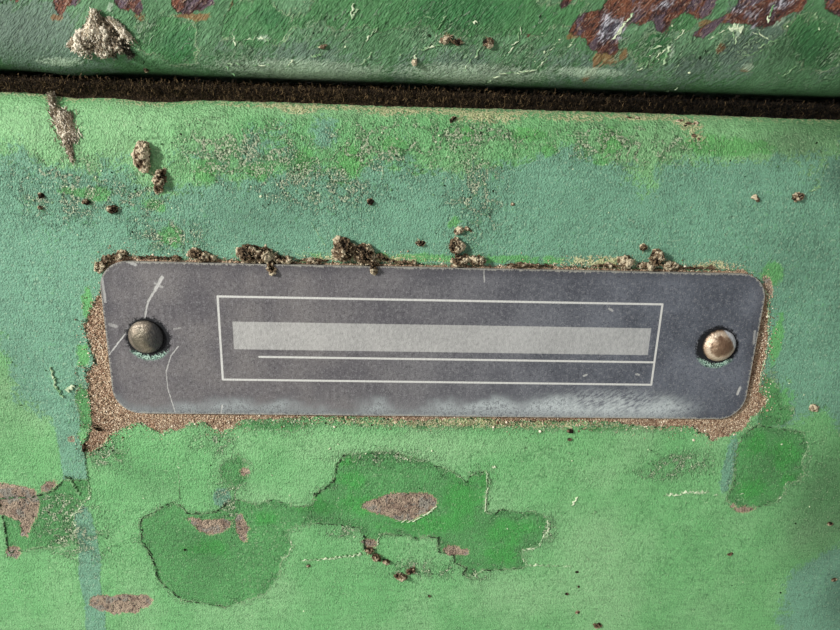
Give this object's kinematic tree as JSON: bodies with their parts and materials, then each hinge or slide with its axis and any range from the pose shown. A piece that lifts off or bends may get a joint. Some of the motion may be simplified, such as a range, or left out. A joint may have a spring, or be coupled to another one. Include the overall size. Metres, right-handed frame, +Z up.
{
  "type": "machine frame rail section with riveted identification plate",
  "caption": "Section of a painted channel rail with a lower channel bolted on top over packing rings, and a blank rounded identification plate riveted to its face.",
  "frame": {"origin": "middle of the section's bounding box at its underside, on the floor", "axes": "+X along the rails to the right as the plate is read, +Y from the plate towards the open back of the channels, +Z up"},
  "size_m": [0.3, 0.0784, 0.2191],
  "materials": {
    "rail_paint": "chalky weathered green enamel over steel, chipped and rusted",
    "upper_paint": "chalky weathered green enamel over steel, worn to bare metal and rust in places",
    "plate_black": "satin black printed face with worn pale edges",
    "rivet_bronze": "browned, bright at the rim",
    "packer_steel": "bare, lightly rusted",
    "zinc_steel": "dull zinc plating"
  },
  "bodies": {
    "root": {"frame_rail": "rail_paint", "upper_rail": "upper_paint", "id_plate": "plate_black", "rivet_left": "rivet_bronze", "rivet_right": "rivet_bronze", "packer_left": "packer_steel", "packer_right": "packer_steel", "bolt_left": "zinc_steel", "bolt_right": "zinc_steel", "washer_top_left": "zinc_steel", "washer_top_right": "zinc_steel", "washer_under_left": "zinc_steel", "washer_under_right": "zinc_steel", "nut_left": "zinc_steel", "nut_right": "zinc_steel"}
  },
  "joints": []
}
